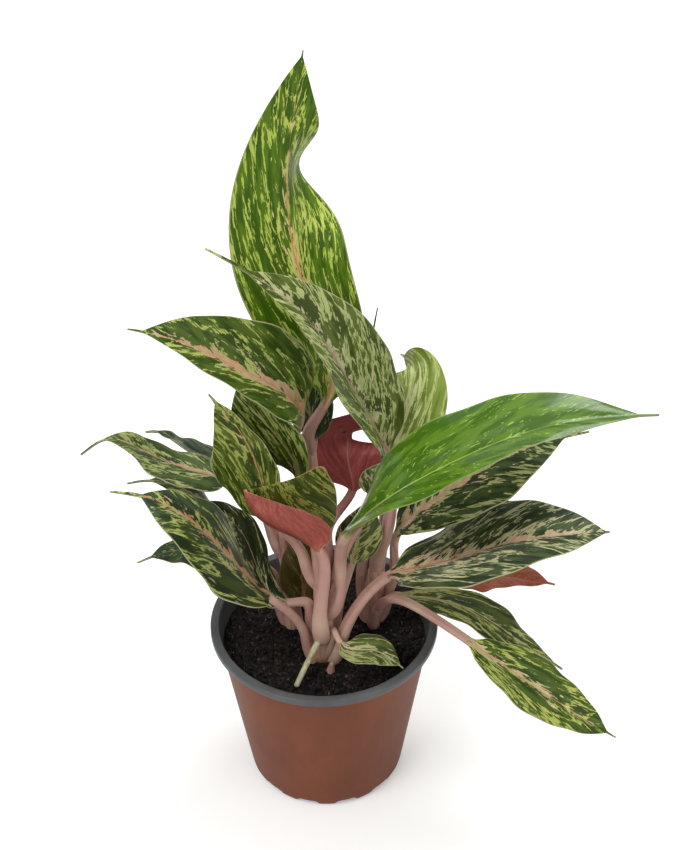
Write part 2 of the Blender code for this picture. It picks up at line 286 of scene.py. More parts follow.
@dataclass(frozen=True)
class LeafFinish:
    """Waxy living leaf: dark green islands between broken lime and cream streaks.

    The streaks follow the side veins, so they run out and forwards from the midrib, where a pink or
    cream blotch has long teeth. Widths are in millimetres, shares of the area go from 0 to 1, and
    the streaks' length is relative to the 7 mm of most leaves.
    """

    name: str
    slot: str
    ground: str
    ground_light: str
    streak: str
    patch: str
    rib: str
    rib_line: str
    streak_share: float = 0.3
    patch_share: float = 0.08
    rib_width: float = 2.6
    streak_length: float = 1.0
    margin: str = "#a5a67c"
    under: str = "#66703f"
    under_deep: str = "#4a5628"
    stalk: str = "#b0857a"
    roughness: float = 0.38
    coat: float = 0.0

    def marble(self, g: Graph, vein: Socket, reach: Socket) -> tuple[Socket, Socket]:
        """Paint the upper side away from the midrib.

        Args:
            g: the leaf's nodes.
            vein: the place across and along the side veins, in millimetres.
            reach: the share of the way from the midrib to the margin.

        Returns:
            Its colour, and the streaks' height.
        """
        clouds = g.pattern(vein, (0.13, 0.06, 0.0), 2.0)
        colour = g.paint(self.ground, clouds, 0.42, 0.58, self.ground_light)
        # Clear islands about 7 mm by 14 mm, with the flecks crowded along their edges.
        edges = g.pattern(vein, (0.072, 0.035, 0.0), 3.0, 0.6)
        edges = g.add("Math", (edges, 0.5), operation="SUBTRACT")
        edges = g.add("Math", (edges,), operation="ABSOLUTE")
        crowd = g.add("Math", (edges, -3.0, 0.13), operation="MULTIPLY_ADD")
        cut = 0.71 - 0.42 * self.streak_share
        # Flecks a millimetre across and 4 mm long, and streaks 2 mm across and 7 mm long.
        fine = g.pattern(vein, (1.0, 0.25 / self.streak_length, 0.0), 3.0, 0.7)
        fine = g.add("Math", (fine, crowd), operation="ADD")
        colour = g.paint(colour, fine, cut + 0.01, cut + 0.06, self.streak)
        broad = g.pattern(vein, (0.45, 0.14 / self.streak_length, 0.0), 5.0, 1.0)
        broad = g.add("Math", (broad, crowd), operation="ADD")
        colour = g.paint(colour, broad, cut + 0.01, cut + 0.045, self.streak)
        # Cream patches lie nearer the midrib.
        nearness = g.add("Math", (reach, -0.2, 0.1), operation="MULTIPLY_ADD")
        patches = g.pattern(vein, (0.24, 0.1, 0.0), 5.0, 1.2)
        patches = g.add("Math", (patches, nearness), operation="ADD")
        cut = 0.70 - 0.45 * self.patch_share
        return g.paint(colour, patches, cut, cut + 0.03, self.patch), broad

    def blotch(self, g: Graph, vein: Socket, from_rib: Socket, along: Socket) -> Socket:
        """Return how deep inside the toothed blotch along the midrib a place lies, in millimetres.

        Args:
            g: the leaf's nodes.
            vein: the place across and along the side veins.
            from_rib: the distance from the midrib.
            along: the share of the way along the blade.
        """
        teeth = g.pattern(vein, (0.17, 0.08, 0.0), 5.0, 0.8)
        teeth = g.add("Math", (teeth, 10.0, -4.0), operation="MULTIPLY_ADD")
        thinning = g.add("Math", (along, -1.15, 1.1), operation="MULTIPLY_ADD")
        width = g.add("Math", (teeth, thinning), operation="MULTIPLY")
        width = g.add("Math", (width, self.rib_width), operation="MULTIPLY")
        return g.add("Math", (width, from_rib), operation="SUBTRACT")

    def build(self) -> bpy.types.Material:
        """Build the leaf's material from its own vein and place attributes."""
        g = Graph(self.name)
        vein = g.add("Attribute", (), out="Vector", attribute_name="vein")
        place = g.add("Attribute", (), out="Vector", attribute_name="place")
        along_vein, _, from_rib = g.add("SeparateXYZ", (vein,)).node.outputs
        across, along, below = g.add("SeparateXYZ", (place,)).node.outputs
        reach = g.add("Math", (across,), operation="ABSOLUTE")
        colour, relief = self.marble(g, vein, reach)

        mottle = g.paint(self.rib, g.pattern(vein, (0.5, 0.2, 0.0)), 0.42, 0.62, self.patch)
        colour = g.paint(colour, self.blotch(g, vein, from_rib, along), 0.0, 0.5, mottle)
        thin = g.add("Math", (along, -0.95, 0.9), operation="MULTIPLY_ADD")
        on_line = g.add("Math", (thin, from_rib), operation="SUBTRACT")
        colour = g.paint(colour, on_line, 0.0, 0.3, self.rib_line)
        colour = g.paint(colour, reach, 0.965, 0.99, self.margin)
        # The underside is plain, with faint veins and fine pale dots.
        back = g.paint(self.under_deep, g.pattern(vein, (0.4, 0.06, 0.0), 2.0), 0.35, 0.7, self.under)
        back = g.paint(back, g.pattern(vein, (1.2, 0.7, 0.0), 2.0), 0.6, 0.7, self.stalk)
        back = g.paint(back, on_line, 0.0, 0.3, self.stalk)
        colour = g.paint(colour, below, 0.4, 0.6, back)
        # The stalk is pink with pale threads, and runs a little way into the blade.
        flesh = g.paint(self.stalk, g.pattern(vein, (0.05, 0.5, 0.0)), 0.4, 0.7, "#c3a691")
        colour = g.paint(flesh, along, -0.01, 0.05, colour)

        ridges = g.add("Math", (along_vein, tau / 7.0), operation="MULTIPLY")
        ridges = g.add("Math", (ridges,), operation="SINE")
        relief = g.add("Math", (ridges, 0.35, relief), operation="MULTIPLY_ADD")
        return g.finish(
            colour,
            relief,
            0.0007,
            Roughness=self.roughness,
            Specular_IOR_Level=0.22,
            Coat_Weight=self.coat,
            Coat_Roughness=0.14,
        )


class LeafTone(Enum):
    """The leaves' named finishes, one for each kind of leaf on the plant."""

    CROWN = LeafFinish("leaf_fresh_green", "green_leaf", "#365402", "#506e0c", "#adbd52", "#c2bb74",
                       "#c39a62", "#bd8458", 0.32, 0.12, 2.8)
    GREY_SPLASHED = LeafFinish("leaf_grey_splashed", "green_leaf", "#3c4a14", "#596a28", "#a9b172",
                               "#c0bb92", "#b3957a", "#ad8a76", 0.36, 0.20, 1.6,
                               streak_length=1.5)
    BEIGE_SPLASHED = LeafFinish("leaf_beige_splashed", "green_leaf", "#2f4408", "#4a5f1c", "#a2ac5c",
                                "#b7a680", "#bc8f6c", "#b98568", 0.33, 0.12, 4.2)
    SPECKLED = LeafFinish("leaf_speckled", "dark_leaf", "#2a3a14", "#465620", "#959f5e", "#ab9f7a",
                          "#a98468", "#a98468", 0.31, 0.08, 1.4, margin="#a39a86")
    YELLOW_GREEN = LeafFinish("leaf_yellow_green", "green_leaf", "#33430a", "#52621e", "#9aa150",
                              "#a8a45e", "#b07a5c", "#b98670", 0.35, 0.08, 1.2)
    LONG_STREAKED = LeafFinish("leaf_long_streaked", "green_leaf", "#263808", "#415314", "#95a052",
                               "#a6a866", "#9c8f5c", "#9c8f5c", 0.37, 0.10, 1.0,
                               streak_length=2.0)
    ORANGE_RIBBED = LeafFinish("leaf_orange_ribbed", "dark_leaf", "#1f2e16", "#35461c", "#a0a85c",
                               "#b2a070", "#b47c58", "#bd8762", 0.32, 0.08, 3.8,
                               streak_length=1.8)
    WHITE_FLECKED = LeafFinish("leaf_white_flecked", "dark_leaf", "#1a2510", "#2f3d1a", "#adb47f",
                               "#b9bb8e", "#7a7850", "#8a8660", 0.27, 0.06, 0.8,
                               streak_length=1.8)
    TEAL = LeafFinish("leaf_teal", "dark_leaf", "#1c2a14", "#2f4220", "#7a8852", "#929568", "#6f7050",
                      "#80805c", 0.18, 0.04, 0.8)
    UNFURLING = LeafFinish("leaf_unfurling", "unfurling_leaf", "#37440a", "#545c1a", "#a2a04e",
                           "#b88650", "#bb7450", "#bd8866", 0.38, 0.14, 5.0, margin="#c49a7c",
                           under="#b05a50", under_deep="#93443a")
    WINE_BACKED = LeafFinish("leaf_wine_backed", "red_leaf_back", "#2c3c1a", "#465428", "#8a9158",
                             "#a09068", "#a07060", "#a07060", margin="#9a4a44", under="#a8524e",
                             under_deep="#8a3e3c", stalk="#a06a62")
    PALE = LeafFinish("leaf_pale_striped", "pale_leaf", "#667a26", "#809240", "#b0bd70", "#c4ca90",
                      "#b2b57a", "#c0c288", 0.45, 0.25, 1.4)
    GLOSSY = LeafFinish("leaf_glossy", "bright_leaf", "#3b5f0c", "#56791c", "#92b04c", "#9cb45e",
                        "#88a34c", "#98ae5c", 0.06, 0.0, 0.5, margin="#7f9a48", under="#7c7d48",
                        under_deep="#646838", roughness=0.3, coat=0.6)
    CREAM_RIBBED = LeafFinish("leaf_cream_ribbed", "dark_leaf", "#213014", "#384920", "#999e66",
                              "#b5aa82", "#b09072", "#ad8a70", 0.33, 0.12, 3.4,
                              streak_length=2.2)
    PINK_RIBBED = LeafFinish("leaf_pink_ribbed", "dark_leaf", "#263418", "#435228", "#b6b588",
                             "#c0b190", "#be9a7c", "#b17a5c", 0.36, 0.16, 5.0, streak_length=2.6)
    RUST_BACKED = LeafFinish("leaf_rust_backed", "red_leaf_back", "#2c3c1a", "#465428", "#8a9158",
                             "#a09068", "#a07060", "#a07060", margin="#8a5a3c", under="#a2502e",
                             under_deep="#7e3a20", stalk="#a07a50")
    OLIVE_STREAKED = LeafFinish("leaf_olive_streaked", "dark_leaf", "#273408", "#45521e", "#9da05c",
                                "#aea674", "#98906a", "#98906a", 0.36, 0.08, 0.8,
                                streak_length=2.0)
    LIME_STREAKED = LeafFinish("leaf_lime_streaked", "dark_leaf", "#2e4408", "#4c621e", "#adb458",
                               "#cabf88", "#c0a078", "#b99c72", 0.33, 0.14, 2.4,
                               streak_length=1.6)
    SMALL = LeafFinish("leaf_small_splashed", "green_leaf", "#364216", "#545f2a", "#9da06a", "#b3b088",
                       "#b0a680", "#b3a884", 0.38, 0.16, 1.0)
    # The olive leaf's colours are darkened with painted shade, for the shadow that it stands in behind the
    # stem.
    SHADED_OLIVE = LeafFinish("leaf_olive_painted_shade", "dark_leaf", "#3a330e", "#4a431a", "#645c30",
                              "#745e34", "#80603a", "#7a6040", 0.2, 0.1, 0.8, margin="#6a5830")


@dataclass(frozen=True)
class PotPlastic:
    """Injection-moulded polypropylene: matt, with a faint drag from the mould on the wall."""

    name: str
    colour: str
    shade: str
    roughness: float

    def build(self) -> bpy.types.Material:
        """Build the plastic with soft blotches, dust and fine mould lines."""
        g = Graph(self.name)
        where = g.add("TexCoord", (), out="Object")
        colour = g.paint(self.colour, g.pattern(where, (28.0, 28.0, 16.0)), 0.35, 0.7, self.shade)
        drag = g.pattern(where, (420.0, 420.0, 26.0), 2.0)
        # The dust specks are a millimetre across, larger than real ones, so that they show.
        dust = g.pattern(where, (900.0, 900.0, 900.0), 2.0)
        colour = g.paint(colour, dust, 0.7, 0.8, "#80604f")
        relief = g.add("Math", (dust, 0.5, drag), operation="MULTIPLY_ADD")
        return g.finish(
            colour, relief, 0.0002, Roughness=self.roughness, IOR=1.49, Specular_IOR_Level=0.3
        )


@dataclass(frozen=True)
class PeatSoil:
    """Moist black peat: crumbs of many sizes, near black, with brown flecks between."""

    name: str = "peat_soil"

    def build(self) -> bpy.types.Material:
        """Build the soil with brown flecks and a rough grain a millimetre or two across, with painted shade
        in its hollows.
        """
        g = Graph(self.name)
        where = g.add("TexCoord", (), out="Object")
        grain = g.pattern(where, (420.0, 420.0, 420.0), 5.0)
        # The grain is also the bump, so its hollows are painted near black: painted shade over the peat's own
        # dark colour.
        colour = g.paint("#040302", grain, 0.42, 0.68, "#2c2420")
        flecks = g.pattern(where, (700.0, 260.0, 400.0), 3.0, 1.0)
        colour = g.paint(colour, flecks, 0.62, 0.68, "#6a564c")
        return g.finish(colour, grain, 0.003, Roughness=0.9, Specular_IOR_Level=0.25)


@dataclass(frozen=True)
class FleshyStem:
    """Living stem skin: smooth and slightly waxy, with pale threads that run along it."""

    name: str
    colour: str
    pale: str
    tinge: str

    def build(self) -> bpy.types.Material:
        """Build the stem with lengthwise threads and a darker tinge in places."""
        g = Graph(self.name)
        where = g.add("TexCoord", (), out="Object")
        threads = g.pattern(where, (500.0, 500.0, 26.0))
        colour = g.paint(self.colour, threads, 0.4, 0.7, self.pale)
        colour = g.paint(colour, g.pattern(where, (90.0, 90.0, 40.0)), 0.52, 0.72, self.tinge)
        return g.finish(colour, threads, 0.0002, Roughness=0.45, Specular_IOR_Level=0.3)


# ---------------------------------------------------------------- plant


@dataclass(frozen=True)
class Cane:
    """A bare stem: axis points and radii in millimetres, with raised rings where leaves grew."""

    name: str
    points: tuple[Point, ...]
    foot_radius: float
    top_radius: float
    ring_gap: float = 11.0
    ring_height: float = 0.25
    around: int = 32
    rings: int = 90

    def build(self, material: bpy.types.Material, slot: str) -> None:
        """Loft the stem and dress it.

        Args:
            material: the stem's finish.
            slot: not used.
        """
        path = SmoothPath(list(self.points))
        distances = np.linspace(0, path.length, self.rings)
        centres, tangents = path.at(distances), path.tangents(distances)
        side = unit(np.cross(tangents, (0, 1, 0)))
        depth = np.cross(tangents, side)
        angles = np.arange(self.around) * tau / self.around
        radii = np.linspace(self.foot_radius, self.top_radius, self.rings)
        scars = np.exp(-(((distances % self.ring_gap) - self.ring_gap / 2) ** 2) / 0.5)
        ends = np.minimum(distances, path.length - distances)
        radii = radii + self.ring_height * scars
        radii = radii * np.sqrt(np.clip((ends + 0.5) / 1.5, 0.2, 1))
        cosines, sines = np.cos(angles)[None, :, None], np.sin(angles)[None, :, None]
        circle = side[:, None] * cosines + depth[:, None] * sines
        piece = roll_grid(self.name, centres[:, None] + radii[:, None, None] * circle, {})
        piece.data.materials.append(material)
        finish_piece(piece, (self.name,))


@dataclass(frozen=True)
class Leaf:
    """A leaf and its stalk, in the same places and sizes as its CAD solid.

    Angles are in degrees, places and widths in millimetres. face is the way the upper side looks,
    fold lifts both halves about the midrib, left and right scale each half, and tuck rolls the
    right half back at tuck_at along the blade. lean is how far forwards a side vein runs for each
    millimetre that it runs out, and ripple is how far the margin waves.
    """

    name: str
    tone: LeafTone
    cane: str
    height: float
    azimuth: float | None
    base: Point
    mids: tuple[Point, ...]
    tip: Point
    width: float
    face: Point = UP
    stalk_bends: tuple[Point, ...] = ()
    fold: float = 8
    curl: float = 0.12
    belly: float = 0.85
    drip: float = 0.06
    left: float = 1.0
    right: float = 1.0
    tuck: float = 0
    tuck_at: float = 0.66
    stalk: float = 2.6
    lean: float = 1.6
    ripple: float = 1.3


@dataclass
class Plant:
    """The canes and the leaves."""

    gap: float = 0.35
    stalk_flare: float = 1.25
    tuck_length: float = 0.15
    half_points: int = 21
    stalk_rings: int = 34
    blade_rings: int = 84
    skin: float = 0.28
    sheath: float = 0.3
    sheath_length: float = 16.0
    canes: tuple[Cane, ...] = (
        Cane("tall_cane", ((-1, -22, 103.95), (0, -17, 150), (-3, -11, 205), (-6, -6, 252)), 6.5, 4.0),
        Cane("right_cane", ((29, 14, 103.95), (31, 14, 125), (33, 14, 146)), 7.5, 5.0),
        Cane("left_cane", ((-19, 8, 103.95), (-21, 10, 140), (-23, 12, 178)), 6.0, 3.5),
        Cane("cut_leaf_stalk", ((-2, -26.8, 127), (-9, -38.5, 120), (-17, -47, 106)), 1.9, 1.6, 99, 0),
        Cane("pink_sprout", ((3.4, -33.6, 103.95), (4.2, -34.4, 109), (4.6, -35.6, 114)), 3.0, 1.2, 99, 0),
    )
    leaves: tuple[Leaf, ...] = (
        Leaf("crown_leaf", LeafTone.CROWN, "tall_cane", 252, None, (2, 0, 278),
             ((-9, 10, 361), (-13, 17, 425)), (-4, 22, 484), 68, (0, -1, 0.3), fold=12, curl=0,
             drip=0.02, right=0.82, tuck=88, lean=3.0),
        Leaf("arching_leaf", LeafTone.GREY_SPLASHED, "right_cane", 146, None, (38, 4, 238),
             ((29, -10, 278), (15, -24, 317), (-9, -36, 368)), (-55, -38, 406), 58, (0.8, -0.6, 0.3),
             ((36, 9, 168), (41, 5, 207)), fold=34, drip=0.12, left=0.75, stalk=3.4, lean=2.2),
        Leaf("upper_left_leaf", LeafTone.BEIGE_SPLASHED, "tall_cane", 244, 200, (-10, -20, 288),
             ((-49, -42, 341), (-74, -50, 360)), (-95, -54, 369), 60, (0.2, -0.5, 0.85), fold=26,
             belly=0.66, drip=0.06, left=0.7, lean=1.7),
        Leaf("left_leaf", LeafTone.SPECKLED, "left_cane", 170, 170, (-52, 6, 221),
             ((-93, 8, 238), (-123, 4, 255)), (-137, 0, 247), 44, (0, 0, 1), fold=12, drip=0.16,
             right=0.6),
        Leaf("left_back_leaf", LeafTone.TEAL, "left_cane", 160, 110, (-48, 30, 210),
             ((-78, 38, 221), (-95, 42, 231)), (-105, 44, 230), 34, (0, 0.4, 1), fold=10, drip=0.12),
        Leaf("left_upright_leaf", LeafTone.YELLOW_GREEN, "tall_cane", 170, 185, (-25, -20, 211),
             ((-41, -24, 275),), (-60, -18, 302), 56, (-0.5, -0.8, 0.3), fold=18, right=0.6,
             lean=2.4),
        Leaf("middle_streaked_leaf", LeafTone.LONG_STREAKED, "tall_cane", 205, 190, (-12, -15, 240),
             ((-29, -18, 281),), (-45, -19, 313), 44, (-0.4, -0.7, 0.5), right=0.6, lean=3.6),
        Leaf("lower_left_leaf", LeafTone.ORANGE_RIBBED, "tall_cane", 112, 192, (-31, -34, 167),
             ((-65, -38, 221), (-94, -36, 244)), (-117, -34, 248), 62, UP, fold=5, drip=0.14,
             belly=0.95, left=1.15, right=0.9),
        Leaf("lower_left_back_leaf", LeafTone.SPECKLED, "left_cane", 135, 190, (-38, 16, 147),
             ((-72, 16, 201), (-104, 16, 215)), (-115, 16, 213), 46, UP, drip=0.12, left=0.7),
        Leaf("dark_left_leaf", LeafTone.WHITE_FLECKED, "tall_cane", 130, 150, (-20, -9, 139),
             ((-45, 1, 181),), (-72, -3, 217), 46, (0.5, -0.4, 0.8), belly=1.0, left=0.75, right=0.55,
             lean=2.6),
        Leaf("low_left_leaf", LeafTone.TEAL, "left_cane", 112, 150, (-46, 20, 133), ((-82, 26, 152),),
             (-116, 28, 140), 34, UP, drip=0.12),
        Leaf("unfurling_leaf", LeafTone.UNFURLING, "tall_cane", 134, 262, (-1, -31, 201),
             ((-21, -42, 226), (-35, -50, 246)), (-40, -55, 265), 64, (0.8, 0, 0.6), fold=72,
             belly=1.05, drip=0.02, right=1.5, stalk=3.8, lean=2.6, ripple=0.6),
        Leaf("red_backed_rear_leaf", LeafTone.WINE_BACKED, "tall_cane", 180, 60, (18, 14, 206),
             ((16, 16, 231), (16, 28, 239)), (14, 56, 213), 46, (0, 1, 0.3)),
        Leaf("pale_striped_leaf", LeafTone.PALE, "right_cane", 130, 80, (44, 16, 239),
             ((51, 16, 269), (54, 26, 285)), (47, 46, 282), 44, (-0.1, -1, 0.3), lean=4.0),
        Leaf("glossy_right_leaf", LeafTone.GLOSSY, "tall_cane", 150, 326, (14, -43, 221),
             ((37, -56, 259), (69, -60, 285), (120, -60, 309)), (178, -60, 315), 62, (0, -0.15, 1),
             fold=17, belly=0.86, drip=0.05, right=0.6, stalk=3.4, lean=2.0),
        Leaf("right_back_leaf", LeafTone.CREAM_RIBBED, "right_cane", 124, 12, (44, 12, 171),
             ((78, 8, 214), (120, 4, 246)), (154, 4, 256), 60, (0, -0.3, 1), fold=10, belly=1.3,
             drip=0.1, lean=1.3),
        Leaf("front_right_leaf", LeafTone.PINK_RIBBED, "tall_cane", 112, 338, (38, -12, 161),
             ((69, -18, 178), (109, -26, 200)), (165, -30, 210), 70, UP, fold=18, belly=0.95,
             drip=0.02, right=1.15, stalk=3.2, lean=1.3),
        Leaf("red_backed_side_leaf", LeafTone.RUST_BACKED, "right_cane", 111, 62, (66, 24, 130),
             ((104, 28, 128),), (146, 30, 115), 40, (0, 1, 0.25), fold=6),
        Leaf("low_right_leaf", LeafTone.OLIVE_STREAKED, "right_cane", 116, 322, (46, 2, 133),
             ((77, -8, 137), (112, -22, 124)), (145, -30, 100), 30, UP, lean=2.8),
        Leaf("lowest_right_leaf", LeafTone.LIME_STREAKED, "right_cane", 110, 282, (84, -46, 142),
             ((115, -60, 125), (145, -68, 105)), (173, -72, 85), 48, (0.2, -0.3, 0.9),
             ((47, -16, 146), (66, -33, 147)), fold=12, belly=0.95, left=0.8, right=0.8, lean=2.6),
        Leaf("small_front_leaf", LeafTone.SMALL, "tall_cane", 120, 306, (10, -36, 131),
             ((29, -42, 131),), (47, -48, 121), 26, UP, stalk=1.6, lean=2.2, ripple=0.4),
        Leaf("olive_shaded_leaf", LeafTone.SHADED_OLIVE, "tall_cane", 112, 118, (-10, 2, 126),
             ((-13, 4, 154),), (-14, 4, 189), 28, (0.2, -0.9, 0.4), ripple=0.5),
        Leaf("shaded_middle_leaf", LeafTone.OLIVE_STREAKED, "tall_cane", 124, 40, (17, -4, 165),
             ((22, -2, 186),), (27, 0, 212), 28, (0.1, -0.8, 0.5), ripple=0.4),
        Leaf("hidden_back_leaf", LeafTone.TEAL, "right_cane", 118, 135, (36, 48, 216),
             ((30, 56, 262),), (34, 54, 309), 24, (0, -1, 0.4), ((31, 38, 165),), drip=0.35,
             ripple=0.5),
        Leaf("small_spotted_leaf", LeafTone.SMALL, "tall_cane", 160, 5, (30, -4, 217),
             ((32, -8, 234),), (35, -13, 250), 20, (0.1, -0.8, 0.5), fold=6, ripple=0.2),
        Leaf("dark_back_leaf", LeafTone.TEAL, "tall_cane", 215, 110, (-4, 12, 246), ((-8, 18, 276),),
             (-9, 20, 307), 30, (-0.2, -0.8, 0.5), ripple=0.5),
    )

    def stalk_start(self, leaf: Leaf) -> list[np.ndarray]:
        """Return the first points of a stalk, which starts inside the cane that it clasps.

        Args:
            leaf: the leaf that it carries.

        Returns:
            A point in the cane, and then the two where the CAD stalk starts.
        """
        cane = next(c for c in self.canes if c.name == leaf.cane)
        path = SmoothPath(list(cane.points))
        distances = np.linspace(0, path.length, 200)
        points = path.at(distances)
        nearest = int(np.argmin(abs(points[:, 2] - leaf.height)))
        centre = points[nearest]
        tangent = path.tangents(distances[nearest])[0]
        if leaf.azimuth is None:
            return [centre - tangent * 8, centre + tangent * 2 * self.gap, centre + tangent * 10]
        share = distances[nearest] / path.length
        radius = cane.foot_radius + (cane.top_radius - cane.foot_radius) * share
        outward = np.array([cos(radians(leaf.azimuth)), sin(radians(leaf.azimuth)), 0])
        outward = unit(outward - (outward @ tangent) * tangent)
        clear = radius + leaf.stalk * self.stalk_flare + self.gap
        inside = centre - tangent * self.sheath_length + outward * radius * 0.3
        lower = centre + tangent * 2 + outward * clear * 0.9
        return [inside, lower, centre + tangent * 12 + outward * (clear + 1.2)]

    def half_width(self, leaf: Leaf, along: np.ndarray) -> np.ndarray:
        """Return the share of the full half width along the blade, with a narrow drip tip."""
        body = np.clip(along / (1 - leaf.drip), 0, 1)
        bow = np.maximum(np.sin(pi * body**leaf.belly), 0) ** (0.72 + 0.15 * body**2)
        tail = 0.04 * np.sqrt(np.clip((1 - along) / 0.1, 0, 1)) * (along > 0.4)
        return np.maximum(bow, tail)

    def section(self, leaf: Leaf, along: np.ndarray, across: np.ndarray, seed: float) -> tuple:
        """Return how far sideways and above the midrib the blade lies, and its flat reach, in mm."""
        side = np.where(across < 0, leaf.left, leaf.right)
        share = self.half_width(leaf, along)
        width = leaf.width / 2 * share * side
        tuck = leaf.tuck * np.exp(-(((along - leaf.tuck_at) / self.tuck_length) ** 2)) * (across > 0)
        slope = np.radians(leaf.fold - tuck)
        reach = np.abs(across)
        wave = np.sin(tau * (2.3 * along + seed) + np.where(across < 0, 0.0, 2.1))
        wave = wave + 0.5 * np.sin(tau * (5.1 * along + 1.7 * seed) + np.where(across < 0, 1.3, 0.2))
        wave = leaf.ripple * wave * reach**2.2 * np.sqrt(share)
        sag = 0.9 * np.exp(-((reach * width / 2.2) ** 2)) * np.clip(share * 2, 0, 1)
        sideways = across * width * np.cos(slope)
        height = (reach * np.sin(slope) - leaf.curl * reach**2) * width + wave - sag
        return sideways, height, across * width

    def build_leaf(self, leaf: Leaf, material: bpy.types.Material, seed: float) -> None:
        """Loft one leaf from its round stalk to its thin blade, and dress it.

        Args:
            leaf: its sizes and places.
            material: its finish.
            seed: a number that sets its own streaks and waves.
        """
        start = self.stalk_start(leaf)
        path = SmoothPath([*start, *leaf.stalk_bends, leaf.base, *leaf.mids, leaf.tip])
        blade_start = path.marks[len(start) + len(leaf.stalk_bends)]
        share = (np.arange(1, self.blade_rings + 1) / self.blade_rings) ** 0.95
        share[-1] = 0.995
        stalk_marks = np.linspace(0, blade_start, self.stalk_rings)
        distances = np.concatenate([stalk_marks, blade_start + (path.length - blade_start) * share])
        along = np.concatenate([np.zeros(self.stalk_rings), share])
        centres, tangents = path.at(distances), path.tangents(distances)
        face = unit(leaf.face)
        normals = unit(face - (tangents @ face)[:, None] * tangents)
        sideways = np.cross(tangents, normals)
        across = np.sin(np.linspace(-pi / 2, pi / 2, self.half_points))
        angles = pi * (1 - (np.linspace(-1, 1, self.half_points) + 1) / 2 * 0.98 - 0.01)
        rings, veins, places = [], [], []
        for i, part in enumerate(along):
            flare = self.stalk_flare - (self.stalk_flare - 1) * min(1, distances[i] / blade_start)
            flare += self.sheath * np.exp(-((distances[i] / self.sheath_length - 1) ** 2))
            taper = min(1.0, 0.5 + 0.5 * distances[i] / (0.6 * self.sheath_length))
            radius = leaf.stalk * flare * taper * (1 - 0.75 * part)
            groove = 1 - 0.22 * np.exp(-(((angles - pi / 2) / 0.5) ** 2))
            round_top = np.stack([np.cos(angles) * radius, np.sin(angles) * radius * groove], axis=-1)
            round_under = np.stack([np.cos(angles) * radius, -np.sin(angles) * radius], axis=-1)[::-1]
            x, z, flat = self.section(leaf, np.full(self.half_points, part), across, seed)
            narrowest = max(0.35, radius / 2)
            if np.abs(x).max() < narrowest:
                x = across * narrowest
            skin = self.skin * np.sqrt(1.02 - across**2) + 0.12
            rib = 0.8 * radius * np.exp(-((x / (1.1 * radius + 0.2)) ** 2))
            thin_top = np.stack([x, z + skin], axis=-1)
            thin_under = np.stack([x, z - skin - rib], axis=-1)[::-1]
            blend = smooth_step(part / 0.1)
            ring = np.concatenate([
                round_top * (1 - blend) + thin_top * blend,
                round_under * (1 - blend) + thin_under * blend,
            ])
            rings.append(centres[i] + sideways[i] * ring[:, :1] + normals[i] * ring[:, 1:])
            # Lengths across and along a side vein, and from the midrib, are all real millimetres.
            reach = np.concatenate([flat, flat[::-1]])
            steep = hypot(1, leaf.lean)
            origin = distances[i] - blade_start - leaf.lean * np.abs(reach) - 0.012 * reach**2
            vein = [origin / steep + 900 * seed, reach * steep, np.abs(reach)]
            veins.append(np.stack(vein, axis=-1))
            run = part if i >= self.stalk_rings else (distances[i] - blade_start) / path.length
            both_sides = np.concatenate([across, across[::-1]])
            below = np.repeat([0.0, 1.0], self.half_points)
            places.append(np.stack([both_sides, np.full_like(reach, run), below], axis=-1))
        attributes = {"vein": np.array(veins), "place": np.array(places)}
        piece = roll_grid(leaf.name, np.array(rings), attributes)
        piece.data.materials.append(material)
        finish_piece(piece, (leaf.name,))

    def build(self) -> None:
        """Build every cane, stub and leaf."""
        pink = FleshyStem("pink_cane_skin", "#b28678", "#c3a48c", "#966856").build()
        olive = FleshyStem("dried_stalk_skin", "#b0ab86", "#c8c3a4", "#8a8456").build()
        for cane in self.canes:
            cut = cane.name == "cut_leaf_stalk"
            cane.build(olive if cut else pink, "cut_stalk" if cut else "pink_cane")
        finishes = {tone: tone.value.build() for tone in LeafTone}
        for number, leaf in enumerate(self.leaves):
            self.build_leaf(leaf, finishes[leaf.tone], 0.37 * (number + 1) % 1.0)


# ---------------------------------------------------------------- pot and soil


